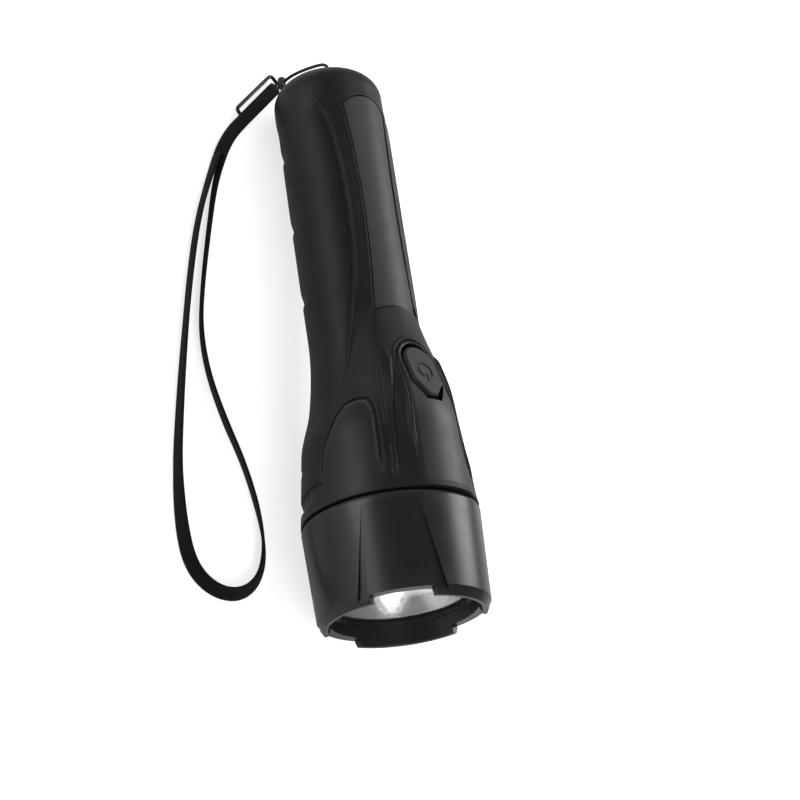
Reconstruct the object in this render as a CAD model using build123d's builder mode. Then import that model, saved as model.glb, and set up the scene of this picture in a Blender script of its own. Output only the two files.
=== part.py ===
"""Rubber-covered battery torch with a wrist strap, lying on a flat surface.

Lens towards -Y, tail towards +Y, push button up. Millimetres.

Every rigid piece is drawn about the torch's own axis, which is Y here, with the rim of the head at
y = 0 and distances from the rim growing towards the tail. The section "resting place" then tilts all
of them together, so that head and handle both touch the surface. The strap is drawn where it lies.
"""
from build123d import *
import math
import os

# ---------------------------------------------------------------- driving dimensions
# overall
seam_at = 36.0              # rim to the joint between head ring and body
seam_gap = 0.5
seam_edge = 0.5             # the head ring's edge at the seam
seam_radius = 31.0
head_taper = 1.2            # how much smaller the rim's radius is than the seam's

# cells
cell_radius = 17.1
cell_length = 60.0          # without the raised button
cell_nub_radius = 4.75
cell_nub_height = 1.5
cell_clearance = 0.3
cells_start = 62.0          # rim to the front cell's raised button
cell_shoulder = 1.5         # slope round the raised button
cell_edge = 0.6

# hard inner body
tube_wall = 1.3
rubber_wall = 1.3
spigot_start = 22.0
ring_wall = 5.72            # head ring at its widest, outside of the bore
spigot_wall = 1.6
collar_wall = 1.9           # thickness of the pieces that cover the flared shell
tail_wall = 1.5             # rubber over the tail end
tail_block = 15.5           # tail contact to the tail end
tail_spring_length = 9.5

# outside of the neck and the tail
neck_head_step = 3.4        # how far the radius drops from the seam to where the flare narrows
neck_head_at = 62.0
neck_mid_step = 2.9         # radius over the handle's where the flare is at its steepest
neck_mid_at = 80.0
handle_starts = 106.0
handle_crown = 0.15         # extra radius halfway along the handle
tail_shoulder = 10.0        # length of the rounded tail end
tail_face_radius = 8.0

# switch ridge
ridge_step = 0.0            # how far the nose stands over the seam
ridge_end_drop = 0.6        # how far the ridge ends below the handle's surface
ridge_half_width = 11.0
ridge_foot_half_width = 19.0
ridge_foot_height = 14.0
nose_end = 68.0             # where the nose starts to slope down
ridge_tail_half_width = 11.0

# switch
switch_at = 81.5
pocket_length = 24.6
pocket_width = 14.8
pocket_depth = 4.2
button_length = 21.5
button_width = 13.2
button_height = 3.2
button_proud = 0.6
button_travel = 1.2
button_roof_thickness = 1.4
button_edge = 0.6
button_point = 6.5          # how far the pointed end tapers
symbol_radius = 3.4
symbol_line = 0.9
symbol_depth = 0.3
stem_radius = 1.6
stem_clearance = 0.06
stem_depth = 0.3            # how far the stem reaches into the switch's base
base_length = 13.4
base_width = 9.4
base_height = 1.8
spring_wire = 0.4
spring_radius = 2.5
spring_turns = 4
spring_end_gap = 0.05       # wire to the surface at each end
contact_length = 4.0
contact_width = 1.6
contact_edge = 1.5          # end of the switch's base to the middle of each contact
contact_thickness = 0.3
fixed_contact_thickness = 0.15
surround_thickness = 1.2
surround_half_width = 10.6
surround_rear_half_width = 8.7
surround_narrows_at = 60.0
surround_start = 39.5
surround_rim = 1.3
inset_gap = 0.3             # line round each inset piece

# inlay strip
inlay_start = 107.5
inlay_tail_gap = 20.5       # end of the inlay to the tail end
inlay_end_half_width = 9.4
inlay_waist_half_width = 7.4
inlay_bow = 4.0
inlay_proud = 0.1

# collar behind the head ring
collar_length = 9.6
shield_turn = 65.0          # degrees from the button to the middle of each side shield
shield_height = 36.5        # seam to the top of the shield
shield_half_width = 10.6
shield_front_corner = 2.0   # corner cut off towards the button, across and along
shield_front_drop = 6.0
shield_back_inset = 5.1     # the outline's back edge starts this far in
shield_back_drop = 4.0
shield_back_end = 15.5      # and meets the straight side this far below the top
back_recess_start = 4.6
back_recess_length = 5.0
back_recess_depth = 1.2
back_recess_arc = 100.0

# finger grooves
finger_pitch = 29.0
finger_first = 120.0
finger_count = 3
finger_arc = 124.0
finger_depth = 0.9
finger_width = 4.5
small_groove_at = 57.0
small_groove_depth = 0.7
small_groove_width = 3.0
small_groove_arc = 90.0

# head ring
rim_wall = 3.4
lens_depth = 6.3            # rim to the lip that holds the lens
lip_overlap = 1.6           # how far the lip reaches over the lens
lip_step = 1.0              # how much wider the mouth is just outside the lip
lip_thickness = 1.4
mouth_edge = 0.4
spigot_clearance = 0.08
ring_edge_width = 1.8
ring_edge_length = 3.2
facet_count = 3
facet_turn = -43.0          # degrees from the button to the first recessed facet
facet_depth = 0.8
facet_fade = 0.15           # what is left of that depth at the seam
facet_end_gap = 3.0         # end of the recess to the seam
facet_rim_arc = 44.0
facet_seam_arc = 36.0
facet_groove_depth = 1.3
facet_groove_arc = 8.0
facet_groove_tip = 0.8      # width of the groove beside the facet at its seam end, in degrees
notch_depth = 2.8
notch_arc = 44.0

# light unit
seal_thickness = 0.8
lens_thickness = 2.0
lens_clearance = 0.28
lens_edge = 0.3
lens_gap = 0.15             # lens to reflector
reflector_lip = 1.6         # flange round the bowl's mouth
reflector_throat_radius = 4.6
reflector_depth = 18.0
reflector_wall = 1.2
reflector_flange = 1.0
board_radius = 13.0
board_thickness = 1.6
chip_size = 3.5
chip_height = 0.8
dome_radius = 1.6
board_screw_radius = 10.2
screw_hole_radius = 1.0
screw_head_radius = 1.8
screw_head_height = 1.0
carrier_length = 20.0
carrier_clearance = 0.4
carrier_wall = 1.6
carrier_floor = 2.0
hub_radius = 6.0
rod_radius = 1.5
contact_radius = 3.2
contact_height = 2.4
front_spring_radius = 3.0
front_spring_wire = 0.6
front_spring_turns = 3
screw_pitch = 3.0
screw_turns = 2.0

# tail
tail_hole_radius = 1.2
tail_hole_depth = 5.0       # tail end to the middle of the tunnel that joins the two cord holes
tail_tunnel_radius = 1.5
tail_hole_offset = 7.3      # axis to each cord hole
tail_hole_turn = -26.0      # degrees from the button to the first cord hole
tail_hole_inset = 1.3       # length of cord inside each hole
tail_spring_radius = 6.0
tail_wire = 0.9
tail_turns = 4
plate_radius = 12.0
plate_thickness = 1.0
strip_width = 4.0
strip_thickness = 0.5
strip_start = 96.0
strip_gap = 0.05            # strip to the bore
strip_groove_side = 0.2     # gap on each side of the strip
strip_groove_gap = 0.15     # gap over the strip
seal_wire = 1.0
seal_at = 2.4               # spigot end to the middle of the seal

# strap
cord_radius = 0.6
knot_radius = 1.6
knot_length = 4.6
slider_wire_radius = 0.7
slider_corner_radius = 1.6
strap_width = 5.0
strap_thickness = 1.2
strap_end_thickness = 3.0
strap_height = 2.5          # surface to the middle of the webbing, which lies on its edge
leg_spacing = 2.6
leg_run = 11.0              # first straight stretch of each leg

# ---------------------------------------------------------------- derived sizes
ring_bore_radius = seam_radius - ring_wall
spigot_radius = ring_bore_radius - spigot_clearance
rim_radius = seam_radius - head_taper
ring_mouth_radius = rim_radius - rim_wall
bore_radius = cell_radius + cell_clearance
tube_radius = bore_radius + tube_wall
handle_radius = tube_radius + rubber_wall
body_start = seam_at + seam_gap
cell_pitch = cell_length + cell_nub_height
cells_end = cells_start + 2 * cell_pitch
bore_end = cells_end + tail_spring_length + plate_thickness
torch_length = bore_end + tail_block
tail_cap_at = torch_length - tail_shoulder
inlay_end = torch_length - inlay_tail_gap
neck_head_radius = seam_radius - neck_head_step
neck_mid_radius = handle_radius + neck_mid_step
ridge_height = seam_radius + ridge_step
ridge_end_height = handle_radius - ridge_end_drop
pocket_slope = math.degrees(math.atan2(ridge_height - ridge_end_height, handle_starts + 2 - nose_end))
switch_height = ridge_height - (switch_at - nose_end) * math.tan(math.radians(pocket_slope))
lens_radius = ring_bore_radius - lens_clearance
lip_radius = lens_radius - lip_overlap
ring_throat_radius = lip_radius + lip_step
seal_start = lens_depth + lip_thickness
lens_start = seal_start + seal_thickness
reflector_start = lens_start + lens_thickness + lens_gap
reflector_mouth_radius = lens_radius - reflector_lip
reflector_end = reflector_start + reflector_depth
board_start = reflector_end
chip_top = board_start - chip_height
carrier_start = board_start + board_thickness
carrier_end = carrier_start + carrier_length
spigot_bore = spigot_radius - spigot_wall
shell_at_seam = seam_radius - collar_wall
# the band stops under the shields, which close it towards the nose
shield_front_turn = shield_turn - math.degrees(math.asin(shield_half_width / seam_radius))
band_open_half_width = seam_radius * math.sin(math.radians(shield_front_turn)) + 1.5

# outside of the hard body, from the seam to the tail: radius and distance from the rim
shell_points = [
    (shell_at_seam, body_start),
    (neck_head_radius - collar_wall, neck_head_at),
    (neck_mid_radius - collar_wall, neck_mid_at),
    (tube_radius, handle_starts - 10),
    (tube_radius, tail_cap_at - 1),
    (tail_face_radius + 4, torch_length - tail_wall - 2),
    (tail_face_radius, torch_length - tail_wall),
]

parts_folder = "parts"
os.makedirs(parts_folder, exist_ok=True)
rigid_pieces = []


def keep(piece, label):
    """Name a finished rigid piece and put it on the list that is tilted and written below."""
    piece.label = label
    rigid_pieces.append(piece)


def arc_frame(turn):
    """Sketch plane for a turned profile whose sweep starts at this many degrees from the button.

    The plane's x is the outward radius and its y is the torch's axis."""
    radians = math.radians(turn)
    return Plane(origin=(0, 0, 0), x_dir=(math.sin(radians), 0, math.cos(radians)),
                 z_dir=(-math.cos(radians), 0, math.sin(radians)))


def facing(turn, distance=0.0):
    """Sketch plane that faces outward at this many degrees from the button; its y runs to the tail."""
    radians = math.radians(turn)
    outward = Vector(math.sin(radians), 0, math.cos(radians))
    return Plane(origin=outward * distance, x_dir=(math.cos(radians), 0, -math.sin(radians)),
                 z_dir=outward)


# the switch sits on the sloping part of the ridge, in a frame of its own: z out, y to the tail
slope = math.radians(pocket_slope)
switch_face = Plane(origin=(0, switch_at, switch_height), x_dir=(1, 0, 0),
                    z_dir=(0, math.sin(slope), math.cos(slope)))

# ---------------------------------------------------------------- outside of the body
def ridge_envelope(inset):
    """Turned solid as high as the ridge's top line, which crowns the nose and the switch slope."""
    drop = inset / math.cos(slope)
    with BuildPart() as envelope:
        with BuildSketch(Plane.XY):
            with BuildLine():
                Polyline((0, body_start), (ridge_height - inset, body_start),
                         (ridge_height - inset, nose_end),
                         (ridge_end_height - drop, handle_starts + 2), (0, handle_starts + 2),
                         close=True)
            make_face()
        revolve(axis=Axis.Y)
    return envelope.part


# one solid of the whole outside, which the covering pieces are cut from
with BuildPart() as ridge:
    with BuildSketch(Plane.XZ.offset(-body_start)):
        with BuildLine():
            Polyline((-ridge_half_width, ridge_height), (ridge_half_width, ridge_height),
                     (ridge_foot_half_width, ridge_foot_height), (ridge_foot_half_width, 0),
                     (-ridge_foot_half_width, 0), (-ridge_foot_half_width, ridge_foot_height),
                     close=True)
        make_face()
    extrude(amount=-(handle_starts - body_start))
    with BuildSketch(Plane.XY):
        with BuildLine():
            Polyline((-ridge_foot_half_width, body_start), (-ridge_foot_half_width, neck_mid_at),
                     (-ridge_tail_half_width, handle_starts), (ridge_tail_half_width, handle_starts),
                     (ridge_foot_half_width, neck_mid_at), (ridge_foot_half_width, body_start),
                     close=True)
        make_face()
    extrude(amount=ridge_height + 1, mode=Mode.INTERSECT)
    add(ridge_envelope(0), mode=Mode.INTERSECT)

with BuildPart() as skin:
    with BuildSketch(Plane.XY):
        with BuildLine():
            Line((0, body_start), (seam_radius, body_start))
            Line((seam_radius, body_start), (neck_head_radius, neck_head_at))
            Spline((neck_head_radius, neck_head_at), (neck_mid_radius, neck_mid_at),
                   (handle_radius, handle_starts), tangents=[(-0.13, 1), (0, 1)])
            Spline((handle_radius, handle_starts),
                   (handle_radius + handle_crown, (handle_starts + tail_cap_at) / 2),
                   (handle_radius, tail_cap_at), tangents=[(0, 1), (0, 1)])
            Spline((handle_radius, tail_cap_at),
                   (handle_radius * 0.8, torch_length - tail_shoulder * 0.28),
                   (tail_face_radius, torch_length), tangents=[(0, 1), (-1, 0.12)])
            Line((tail_face_radius, torch_length), (0, torch_length))
            Line((0, torch_length), (0, body_start))
        make_face()
    revolve(axis=Axis.Y)
    add(ridge.part)

# two holes in the tail end and the tunnel that joins them, for the cord
tunnel_at = torch_length - tail_hole_depth
tail_hole_radians = math.radians(tail_hole_turn)
tail_hole_places = [(side * tail_hole_offset * math.sin(tail_hole_radians),
                     side * tail_hole_offset * math.cos(tail_hole_radians)) for side in (1, -1)]
with BuildPart() as cord_tunnel:
    with BuildSketch(facing(tail_hole_turn, -tail_hole_offset)):
        with Locations((0, tunnel_at)):
            Circle(tail_tunnel_radius)
    extrude(amount=2 * tail_hole_offset)
    with BuildSketch(Plane.XZ.offset(-tunnel_at)):
        with Locations(*tail_hole_places):
            Circle(tail_hole_radius)
    extrude(amount=-(tail_hole_depth + 1))

# ---------------------------------------------------------------- hard inner body
with BuildPart() as battery_tube:
    with BuildSketch(Plane.XY):
        with BuildLine():
            Polyline((spigot_bore, spigot_start), (spigot_radius, spigot_start),
                     (spigot_radius, body_start), *shell_points,
                     (0, torch_length - tail_wall), (0, bore_end), (bore_radius, bore_end),
                     (bore_radius, cells_start - 2), (spigot_bore, carrier_end),
                     close=True)
        make_face()
    revolve(axis=Axis.Y)
    # groove inside the bore for the contact strip
    with BuildSketch(Plane.XY.offset(bore_radius - 1)):
        with Locations((0, (strip_start + bore_end) / 2)):
            Rectangle(strip_width + 2 * strip_groove_side, bore_end - strip_start)
    extrude(amount=1 + strip_thickness + strip_groove_gap, mode=Mode.SUBTRACT)
    # seat for the switch
    with BuildSketch(switch_face.offset(-pocket_depth - base_height)):
        Rectangle(base_width, base_length)
    extrude(amount=pocket_depth + base_height, mode=Mode.SUBTRACT)
    # groove for the seal
    with BuildSketch(Plane.XY):
        with Locations((spigot_radius, spigot_start + seal_at)):
            Rectangle(2 * seal_wire, seal_wire + 0.2)
    revolve(axis=Axis.Y, mode=Mode.SUBTRACT)
    add(cord_tunnel.part, mode=Mode.SUBTRACT)


# ---------------------------------------------------------------- zones that inset pieces take up
def collar_zone(margin):
    """Solid that holds the collar: a band behind the seam, open at the front, and two shields."""
    top = body_start + shield_height + margin
    half = shield_half_width + margin
    with BuildPart() as zone:
        with BuildSketch(Plane.XZ.offset(-body_start)):
            Circle(seam_radius + 3)
        extrude(amount=-(collar_length + margin))
        with BuildSketch(Plane.XY):
            with Locations((0, body_start + collar_length / 2)):
                Rectangle(2 * (band_open_half_width - margin), 3 * collar_length)
        extrude(amount=seam_radius + 4, mode=Mode.SUBTRACT)
        for side in (-1, 1):
            with BuildSketch(facing(side * shield_turn, neck_mid_radius - 8)):
                with BuildLine():
                    Polyline((-side * half, body_start), (-side * half, top - shield_front_drop),
                             (-side * (half - shield_front_corner), top),
                             (side * shield_front_corner, top),
                             (side * (half - shield_back_inset), top - shield_back_drop),
                             (side * half, top - shield_back_end),
                             (side * half, body_start), close=True)
                make_face()
            extrude(amount=20)
    return zone.part


def inlay_zone(margin):
    """Solid prism over the handle in the outline of the inlay strip."""
    with BuildPart() as zone:
        with BuildSketch(Plane.XY.offset(handle_radius / 2)):
            with BuildLine():
                end_half = inlay_end_half_width + margin
                waist_half = inlay_waist_half_width + margin
                first = inlay_start - margin
                last = inlay_end + margin
                middle = (first + last) / 2
                ThreePointArc((-end_half, first), (0, first + inlay_bow / 2), (end_half, first))
                ThreePointArc((end_half, first), (waist_half, middle), (end_half, last))
                ThreePointArc((end_half, last), (0, last + inlay_bow), (-end_half, last))
                ThreePointArc((-end_half, last), (-waist_half, middle), (-end_half, first))
            make_face()
        extrude(amount=handle_radius)
    return zone.part


def pocket_zone(margin, depth):
    """Egg-shaped prism of the switch pocket, round towards the tail and narrower to the lens."""
    half = pocket_width / 2 + margin
    back = pocket_length / 2 + margin
    with BuildPart() as zone:
        with BuildSketch(switch_face.offset(-depth)):
            with BuildLine():
                straight = back - half
                ThreePointArc((-half, straight), (0, back), (half, straight))
                Line((half, straight), (half, -straight))
                Line((half, -straight), (half * 0.45, -back))
                Line((half * 0.45, -back), (-half * 0.45, -back))
                Line((-half * 0.45, -back), (-half, -straight))
                Line((-half, -straight), (-half, straight))
            make_face()
        extrude(amount=depth + 6)
    return zone.part


def surround_zone(margin):
    """Prism, seen from above, of the nose plate and of the rim round the pocket."""
    half = surround_half_width + margin
    rear_half = surround_rear_half_width + margin
    first = surround_start - margin
    last = switch_at + pocket_length / 2 * math.cos(slope) + surround_rim + margin
    round_at = last - rear_half
    with BuildPart() as zone:
        with BuildSketch(Plane.XY.offset(handle_radius)):
            with BuildLine():
                Polyline((half, surround_narrows_at), (half, first), (-half, first),
                         (-half, surround_narrows_at))
                Line((half, surround_narrows_at), (rear_half, switch_at))
                Line((rear_half, switch_at), (rear_half, round_at))
                ThreePointArc((rear_half, round_at), (0, last), (-rear_half, round_at))
                Line((-rear_half, round_at), (-rear_half, switch_at))
                Line((-rear_half, switch_at), (-half, surround_narrows_at))
            make_face()
        extrude(amount=ridge_height)
    return zone.part


with BuildPart() as shell_envelope:
    # everything within the hard body's outside, so that the covering pieces sit on it
    with BuildSketch(Plane.XY):
        with BuildLine():
            Polyline((0, body_start - 5), (shell_at_seam, body_start - 5), *shell_points,
                     (0, torch_length - tail_wall), close=True)
        make_face()
    revolve(axis=Axis.Y)

with BuildPart() as back_recess:
    with BuildSketch(arc_frame(180 - back_recess_arc / 2)):
        with Locations((seam_radius - back_recess_depth + 3,
                        body_start + back_recess_start + back_recess_length / 2)):
            Rectangle(6, back_recess_length)
    revolve(axis=Axis.Y, revolution_arc=back_recess_arc)

# ---------------------------------------------------------------- covering pieces
with BuildPart() as head_collar:
    add(skin.part)
    add(collar_zone(0), mode=Mode.INTERSECT)
    add(shell_envelope.part, mode=Mode.SUBTRACT)
    add(back_recess.part, mode=Mode.SUBTRACT)

with BuildPart() as label_inlay:
    with BuildSketch(Plane.XY):
        with Locations(((tube_radius + handle_radius + inlay_proud) / 2, (inlay_start + inlay_end) / 2)):
            Rectangle(rubber_wall + inlay_proud, inlay_end - inlay_start + 4 * inlay_bow)
    revolve(axis=Axis.Y)
    add(inlay_zone(0), mode=Mode.INTERSECT)

with BuildPart() as switch_surround:
    add(skin.part)
    add(surround_zone(0), mode=Mode.INTERSECT)
    add(ridge_envelope(surround_thickness), mode=Mode.SUBTRACT)
    add(pocket_zone(0, pocket_depth), mode=Mode.SUBTRACT)

with BuildPart() as surround_bed:
    add(surround_zone(inset_gap))
    add(ridge_envelope(surround_thickness), mode=Mode.SUBTRACT)

with BuildPart() as rubber_grip:
    add(skin.part)
    add(shell_envelope.part, mode=Mode.SUBTRACT)
    add(collar_zone(inset_gap), mode=Mode.SUBTRACT)
    add(inlay_zone(inset_gap), mode=Mode.SUBTRACT)
    add(pocket_zone(0, pocket_depth), mode=Mode.SUBTRACT)
    add(surround_bed.part, mode=Mode.SUBTRACT)
    with BuildSketch(switch_face.offset(-pocket_depth - base_height)):
        Rectangle(base_width, base_length)
    extrude(amount=base_height + 1, mode=Mode.SUBTRACT)
    # finger grooves round the back, each with a steep wall on its lens side
    for groove in range(finger_count):
        groove_at = finger_first + groove * finger_pitch
        with BuildSketch(arc_frame(180 - finger_arc / 2)):
            with BuildLine():
                Polyline((handle_radius + 1, groove_at - 0.5), (handle_radius - finger_depth, groove_at),
                         (handle_radius - finger_depth * 0.6, groove_at + finger_width * 0.5),
                         (handle_radius + finger_depth * 0.6, groove_at + finger_width * 1.5),
                         (handle_radius + 1, groove_at + finger_width * 1.5), close=True)
            make_face()
        revolve(axis=Axis.Y, revolution_arc=finger_arc, mode=Mode.SUBTRACT)
    # small groove on the back of the flare
    with BuildSketch(arc_frame(180 - small_groove_arc / 2)):
        with Locations((neck_head_radius + small_groove_depth * 0.3, small_groove_at)):
            Rectangle(2 * small_groove_depth, small_groove_width)
    revolve(axis=Axis.Y, revolution_arc=small_groove_arc, mode=Mode.SUBTRACT)
    add(cord_tunnel.part, mode=Mode.SUBTRACT)

# ---------------------------------------------------------------- switch
def button_outline(half, back, point):
    """Closed outline of the button: round to the tail, pointed to the lens."""
    ThreePointArc((-half, back - half), (0, back), (half, back - half))
    Line((half, back - half), (half, -back + point))
    Line((half, -back + point), (half * 0.25, -back))
    Line((half * 0.25, -back), (-half * 0.25, -back))
    Line((-half * 0.25, -back), (-half, -back + point))
    Line((-half, -back + point), (-half, back - half))


with BuildPart() as button_cap:
    with BuildSketch(switch_face.offset(button_proud - button_height)):
        with BuildLine():
            button_outline(button_width / 2, button_length / 2, button_point)
        make_face()
    extrude(amount=button_height)
    chamfer(button_cap.faces().sort_by(SortBy.AREA)[-2:].edges().filter_by(
        lambda edge: switch_face.to_local_coords(edge.center()).Z > button_proud - 0.1), button_edge)
    # on/off sign sunk into the top
    with BuildSketch(switch_face.offset(button_proud - symbol_depth)):
        Circle(symbol_radius)
        Circle(symbol_radius - symbol_line, mode=Mode.SUBTRACT)
        with Locations((0, -symbol_radius)):
            Rectangle(3.2 * symbol_line, 2.4 * symbol_line, mode=Mode.SUBTRACT)
        with Locations((0, -symbol_radius + 0.4)):
            Rectangle(symbol_line, symbol_radius)
    extrude(amount=symbol_depth + 0.1, mode=Mode.SUBTRACT)
    # seat for the spring and stem
    with BuildSketch(switch_face.offset(button_proud - button_height)):
        Circle(spring_radius + spring_wire / 2 + 0.35)
    extrude(amount=button_height - button_roof_thickness, mode=Mode.SUBTRACT)

button_roof = button_proud - button_roof_thickness
with BuildPart() as button_stem:
    with BuildSketch(switch_face.offset(-pocket_depth - stem_depth)):
        Circle(stem_radius)
    extrude(amount=pocket_depth + stem_depth + button_roof)

with BuildPart() as switch_base:
    with BuildSketch(switch_face.offset(-pocket_depth - base_height)):
        Rectangle(base_width, base_length)
        Circle(stem_radius + stem_clearance, mode=Mode.SUBTRACT)
    extrude(amount=base_height)

with BuildPart() as switch_contacts:
    with BuildSketch(switch_face.offset(-pocket_depth - base_height)):
        Circle(stem_radius)
    extrude(amount=fixed_contact_thickness)
    for side in (-1, 1):
        with BuildSketch(switch_face.offset(-pocket_depth)):
            with Locations((0, side * (base_length / 2 - contact_edge))):
                Rectangle(contact_length, contact_width)
        extrude(amount=contact_thickness)


def coil(base, radius, wire, height, turns):
    """Round-wire spring standing on a plane, its wire just clear of both ends."""
    rise = height - wire - 2 * spring_end_gap
    path = Helix(pitch=rise / turns, height=rise, radius=radius)
    path = base.offset(wire / 2 + spring_end_gap) * path
    with BuildPart() as spring:
        with BuildSketch(Plane(origin=path @ 0, z_dir=path % 0)):
            Circle(wire / 2)
        sweep(path=path)
    return spring.part


return_spring = coil(switch_face.offset(-pocket_depth), spring_radius, spring_wire,
                     pocket_depth + button_roof, spring_turns)

# ---------------------------------------------------------------- cells and tail contacts
def across(distance):
    """Sketch plane square to the axis at this distance from the rim, facing the tail."""
    return Plane(origin=(0, distance, 0), x_dir=(-1, 0, 0), z_dir=(0, 1, 0))


def cell(start):
    """One round cell whose raised button begins at this distance from the rim."""
    can_start = start + cell_nub_height
    can_end = start + cell_pitch
    with BuildPart() as body:
        with BuildSketch(Plane.XY):
            with BuildLine():
                Polyline((0, start), (cell_nub_radius, start), (cell_nub_radius, can_start),
                         (cell_radius - cell_shoulder, can_start),
                         (cell_radius, can_start + cell_edge), (cell_radius, can_end - cell_edge),
                         (cell_radius - cell_edge, can_end), (0, can_end),
                         close=True)
            make_face()
        revolve(axis=Axis.Y)
    return body.part


tail_spring = coil(across(cells_end), tail_spring_radius, tail_wire, tail_spring_length, tail_turns)
plate_start = cells_end + tail_spring_length

with BuildPart() as tail_contact:
    with BuildSketch(across(plate_start)):
        Circle(plate_radius)
    extrude(amount=plate_thickness)

with BuildPart() as contact_strip:
    with BuildSketch(Plane.XY.offset(bore_radius + strip_gap)):
        with Locations((0, (strip_start + bore_end) / 2)):
            Rectangle(strip_width, bore_end - strip_start - 4 * strip_gap)
    extrude(amount=strip_thickness)
    with BuildSketch(across(bore_end - 2 * strip_gap - strip_thickness)):
        with Locations((0, (plate_radius + bore_radius + 2 * strip_gap) / 2)):
            Rectangle(strip_width, bore_radius - plate_radius + 2 * strip_gap)
    extrude(amount=strip_thickness)

# ---------------------------------------------------------------- head ring
def facet_cut(depth, at_seam, at_rim, turn):
    """Cutting solid for a mirrored pair of strips, each from an inner to an outer angle, that fade to the seam."""
    end = seam_at - facet_end_gap
    seam_inner, seam_outer, rim_inner, rim_outer = [
        seam_radius * math.sin(math.radians(angle)) for angle in (*at_seam, *at_rim)]
    with BuildPart() as cut:
        with BuildSketch(Plane.XY):
            with BuildLine():
                Polyline((rim_radius - depth, -1), (rim_radius + 4, -1), (seam_radius + 4, end),
                         (seam_radius - facet_fade, end), close=True)
            make_face()
        revolve(axis=Axis.Y)
        with BuildSketch(facing(turn, ring_throat_radius / 2)):
            for side in (-1, 1):
                with BuildLine():
                    Polyline((side * seam_outer, end), (side * rim_outer, -1),
                             (side * rim_inner, -1), (side * seam_inner, end), close=True)
                make_face()
        extrude(amount=seam_radius, mode=Mode.INTERSECT)
    return cut.part


with BuildPart() as head_ring:
    with BuildSketch(Plane.XY):
        with BuildLine():
            Polyline((ring_mouth_radius + mouth_edge, 0), (rim_radius - ring_edge_width, 0),
                     (rim_radius, ring_edge_length), (seam_radius, seam_at - 2 * seam_edge),
                     (seam_radius - seam_edge, seam_at), (ring_bore_radius, seam_at),
                     (ring_bore_radius, seal_start), (lip_radius, seal_start),
                     (lip_radius, lens_depth), (ring_throat_radius, lens_depth),
                     (ring_mouth_radius, mouth_edge), close=True)
        make_face()
    revolve(axis=Axis.Y)
    for facet in range(facet_count):
        turn = facet_turn + facet * 360 / facet_count
        add(facet_cut(facet_depth, (0, facet_seam_arc / 2), (0, facet_rim_arc / 2), turn),
            mode=Mode.SUBTRACT)
        add(facet_cut(facet_groove_depth,
                      (facet_seam_arc / 2 - facet_groove_tip, facet_seam_arc / 2),
                      (facet_rim_arc / 2, facet_rim_arc / 2 + facet_groove_arc), turn),
            mode=Mode.SUBTRACT)
        with BuildSketch(arc_frame(turn - notch_arc / 2)):
            with Locations((rim_radius, 0)):
                Rectangle(rim_radius, 2 * notch_depth)
        revolve(axis=Axis.Y, revolution_arc=notch_arc, mode=Mode.SUBTRACT)

with BuildPart() as lens:
    with BuildSketch(across(lens_start)):
        Circle(lens_radius)
    extrude(amount=lens_thickness)
    chamfer(lens.edges(), lens_edge)

with BuildPart() as lens_seal:
    with BuildSketch(across(seal_start)):
        Circle(lens_radius)
        Circle(lip_radius, mode=Mode.SUBTRACT)
    extrude(amount=seal_thickness)

with BuildPart() as head_seal:
    with BuildSketch(Plane.XY):
        with Locations((spigot_radius - seal_wire / 2, spigot_start + seal_at)):
            Circle(seal_wire / 2)
    revolve(axis=Axis.Y)

# ---------------------------------------------------------------- light unit
with BuildPart() as reflector:
    with BuildSketch(Plane.XY):
        with BuildLine():
            bowl_middle = (reflector_mouth_radius * 0.68, reflector_start + reflector_depth * 0.59)
            back = reflector_wall / math.sqrt(2)
            flange_end = reflector_start + reflector_flange
            ThreePointArc((reflector_mouth_radius, reflector_start), bowl_middle,
                          (reflector_throat_radius, reflector_end))
            Line((reflector_throat_radius, reflector_end),
                 (reflector_throat_radius + reflector_wall, reflector_end))
            ThreePointArc((reflector_throat_radius + reflector_wall, reflector_end),
                          (bowl_middle[0] + back, bowl_middle[1] + back),
                          (reflector_mouth_radius + reflector_wall * 0.7, flange_end))
            Polyline((reflector_mouth_radius + reflector_wall * 0.7, flange_end),
                     (lens_radius, flange_end), (lens_radius, reflector_start),
                     (reflector_mouth_radius, reflector_start))
        make_face()
    revolve(axis=Axis.Y)

with BuildPart() as led_board:
    with BuildSketch(across(board_start)):
        Circle(board_radius)
        with PolarLocations(board_screw_radius, 2):
            Circle(screw_hole_radius, mode=Mode.SUBTRACT)
    extrude(amount=board_thickness)

with BuildPart() as led_chip:
    with BuildSketch(across(chip_top)):
        Rectangle(chip_size, chip_size)
    extrude(amount=chip_height)

with BuildPart() as led_dome:
    with BuildSketch(Plane.XY):
        with BuildLine():
            Line((0, chip_top), (dome_radius, chip_top))
            ThreePointArc((dome_radius, chip_top),
                          (dome_radius * math.sqrt(0.5), chip_top - dome_radius * math.sqrt(0.5)),
                          (0, chip_top - dome_radius))
            Line((0, chip_top - dome_radius), (0, chip_top))
        make_face()
    revolve(axis=Axis.Y)

carrier_radius = spigot_bore - carrier_clearance
with BuildPart() as lamp_carrier:
    with BuildSketch(Plane.XY):
        with BuildLine():
            Polyline((rod_radius, carrier_start), (carrier_radius, carrier_start),
                     (carrier_radius, carrier_end), (carrier_radius - carrier_wall, carrier_end),
                     (carrier_radius - carrier_wall, carrier_start + carrier_floor),
                     (hub_radius, carrier_start + carrier_floor), (hub_radius, carrier_end),
                     (rod_radius, carrier_end), close=True)
        make_face()
    revolve(axis=Axis.Y)
    with BuildSketch(across(carrier_start)):
        with PolarLocations(board_screw_radius, 2):
            Circle(screw_hole_radius)
    extrude(amount=carrier_floor, mode=Mode.SUBTRACT)

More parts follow.
